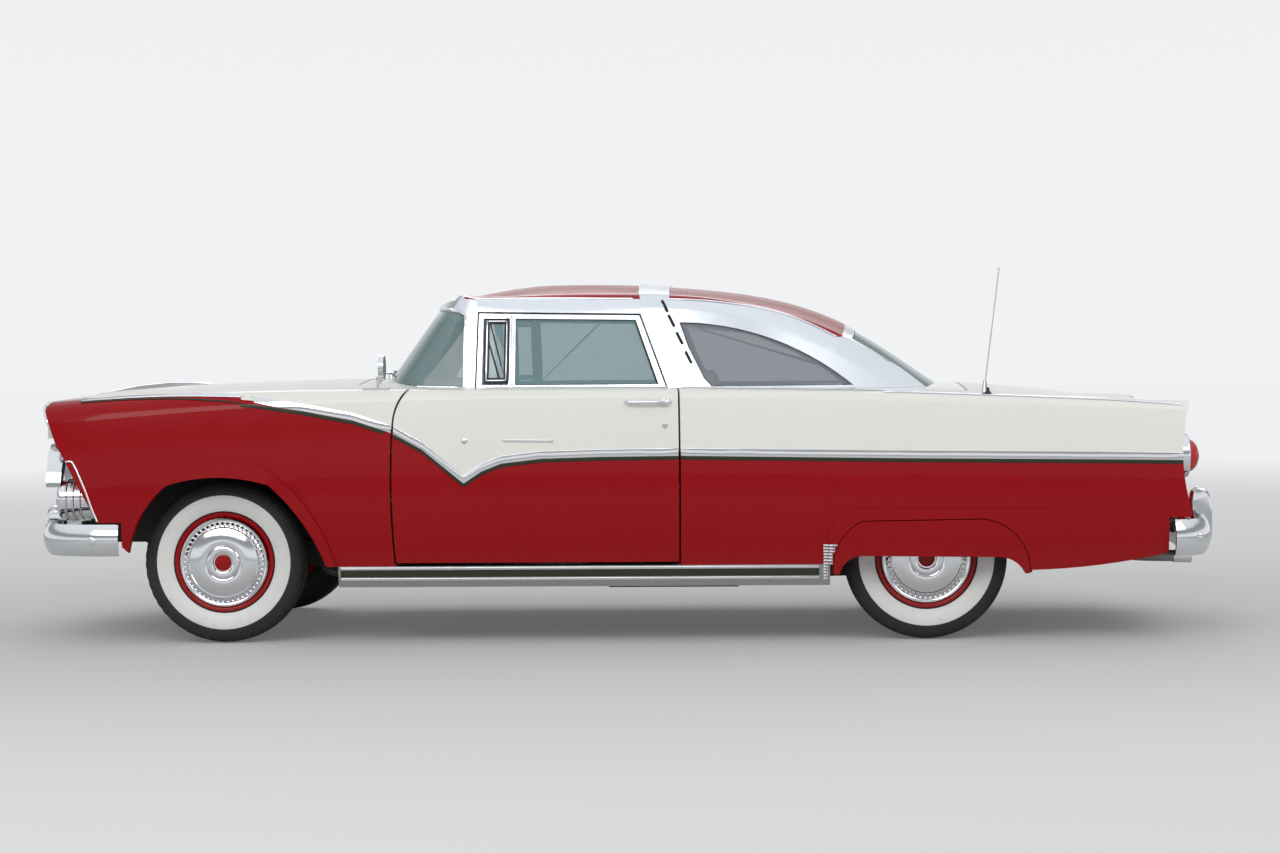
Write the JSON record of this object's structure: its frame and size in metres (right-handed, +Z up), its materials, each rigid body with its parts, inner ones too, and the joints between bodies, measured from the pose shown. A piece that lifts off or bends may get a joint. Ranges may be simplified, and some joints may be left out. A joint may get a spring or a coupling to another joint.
{
  "type": "two-door hardtop car",
  "caption": "Two-door hardtop car of the 1950s with two-tone paint, opening doors, hood and deck lid, steered front wheels and rolling wheels on a separate frame.",
  "frame": {"origin": "on the ground, under the middle of the car's length and width", "axes": "+X towards the front of the car, +Y to its left side, +Z up"},
  "size_m": [5.042, 1.9272, 1.5427],
  "materials": {
    "red_paint": "gloss enamel",
    "cream_paint": "gloss enamel",
    "black_paint": "satin",
    "chrome": "polished",
    "window_glass": "clear, lightly tinted",
    "lamp_glass": "ribbed lens",
    "red_lens": "moulded lens",
    "tyre": "rubber with a pale sidewall",
    "vinyl": "grained vinyl",
    "iron": "rough",
    "steel": "dull",
    "dark_plastic": "smooth"
  },
  "bodies": {
    "body": {"front_fender_left": "red_paint", "front_fender_right": "red_paint", "cowl": "cream_paint", "quarter_panel_left": "red_paint", "quarter_panel_right": "red_paint", "fender_skirts": "red_paint", "tail_panel": "red_paint", "package_shelf": "cream_paint", "rocker_panels": "chrome", "roof_panel": "red_paint", "roof_frame": "cream_paint", "roof_band": "chrome", "windshield": "window_glass", "quarter_windows": "window_glass", "rear_window": "window_glass", "frame_rails_front": "black_paint", "frame_rails_middle": "black_paint", "frame_rails_rear": "black_paint", "frame_crossmembers": "black_paint", "floor_pan": "black_paint", "inner_fenders": "black_paint", "engine": "iron", "radiator": "black_paint", "front_suspension": "steel", "rear_axle": "steel", "exhaust": "steel", "fuel_tank": "steel", "front_bumper": "chrome", "rear_bumper": "chrome", "grille": "chrome", "headlights": "lamp_glass", "parking_lamps": "chrome", "tail_lights": "red_lens", "dashboard": "red_paint", "front_seat_base": "vinyl", "rear_seat": "vinyl", "mirror": "chrome", "antenna": "chrome"},
    "door_left": {"door_left": "red_paint", "door_glass_left": "window_glass"},
    "door_right": {"door_right": "red_paint", "door_glass_right": "window_glass"},
    "hood": {"hood": "cream_paint"},
    "deck_lid": {"deck_lid": "cream_paint"},
    "knuckle_left": {"knuckle_left": "steel"},
    "knuckle_right": {"knuckle_right": "steel"},
    "wheel_front_left": {"wheel_front_left": "chrome", "tyre_front_left": "tyre"},
    "wheel_front_right": {"wheel_front_right": "chrome", "tyre_front_right": "tyre"},
    "wheel_rear_left": {"wheel_rear_left": "chrome", "tyre_rear_left": "tyre"},
    "wheel_rear_right": {"wheel_rear_right": "chrome", "tyre_rear_right": "tyre"},
    "steering_wheel": {"steering_wheel": "dark_plastic"},
    "front_seat_back_left": {"front_seat_back_left": "vinyl"},
    "front_seat_back_right": {"front_seat_back_right": "vinyl"}
  },
  "joints": [
    {"name": "hood_hinge", "type": "hinge", "parent": "body", "child": "hood", "pos_m": [1.045, 0, 1.1], "axis": [0, -1, 0], "range_deg": [0, 50]},
    {"name": "deck_lid_hinge", "type": "hinge", "parent": "body", "child": "deck_lid", "pos_m": [-1.4, 0, 1.057], "axis": [0, 1, 0], "range_deg": [0, 60]},
    {"name": "door_left_hinge", "type": "hinge", "parent": "body", "child": "door_left", "pos_m": [0.87, 0.938, 0.71], "axis": [0, 0, -1], "range_deg": [0, 65]},
    {"name": "door_right_hinge", "type": "hinge", "parent": "body", "child": "door_right", "pos_m": [0.87, -0.938, 0.71], "axis": [0, 0, 1], "range_deg": [0, 65]},
    {"name": "steer_left", "type": "hinge", "parent": "body", "child": "knuckle_left", "pos_m": [1.656, 0.6545, 0.34], "axis": [0, 0, 1], "range_deg": [-31, 31]},
    {"name": "steer_right", "type": "hinge", "parent": "body", "child": "knuckle_right", "pos_m": [1.656, -0.6545, 0.34], "axis": [0, 0, 1], "range_deg": [-31, 31]},
    {"name": "wheel_front_left_spin", "type": "hinge", "parent": "knuckle_left", "child": "wheel_front_left", "pos_m": [1.656, 0.7365, 0.34], "axis": [0, 1, 0], "continuous": true},
    {"name": "wheel_front_right_spin", "type": "hinge", "parent": "knuckle_right", "child": "wheel_front_right", "pos_m": [1.656, -0.7365, 0.34], "axis": [0, 1, 0], "continuous": true},
    {"name": "wheel_rear_left_spin", "type": "hinge", "parent": "body", "child": "wheel_rear_left", "pos_m": [-1.278, 0.711, 0.34], "axis": [0, 1, 0], "continuous": true},
    {"name": "wheel_rear_right_spin", "type": "hinge", "parent": "body", "child": "wheel_rear_right", "pos_m": [-1.278, -0.711, 0.34], "axis": [0, 1, 0], "continuous": true},
    {"name": "steering_wheel_turn", "type": "hinge", "parent": "body", "child": "steering_wheel", "pos_m": [0.3904, 0.37, 0.9378], "axis": [-0.891, 0, 0.454], "range_deg": [-776, 776]},
    {"name": "front_seat_back_left_fold", "type": "hinge", "parent": "body", "child": "front_seat_back_left", "pos_m": [-0.285, 0.35, 0.69], "axis": [0, 1, 0], "range_deg": [0, 35]},
    {"name": "front_seat_back_right_fold", "type": "hinge", "parent": "body", "child": "front_seat_back_right", "pos_m": [-0.285, -0.35, 0.69], "axis": [0, 1, 0], "range_deg": [0, 35]}
  ],
  "couplings": [
    {"joint": "steer_right", "follows": "steer_left", "ratio": 1},
    {"joint": "steering_wheel_turn", "follows": "steer_left", "ratio": 25}
  ]
}
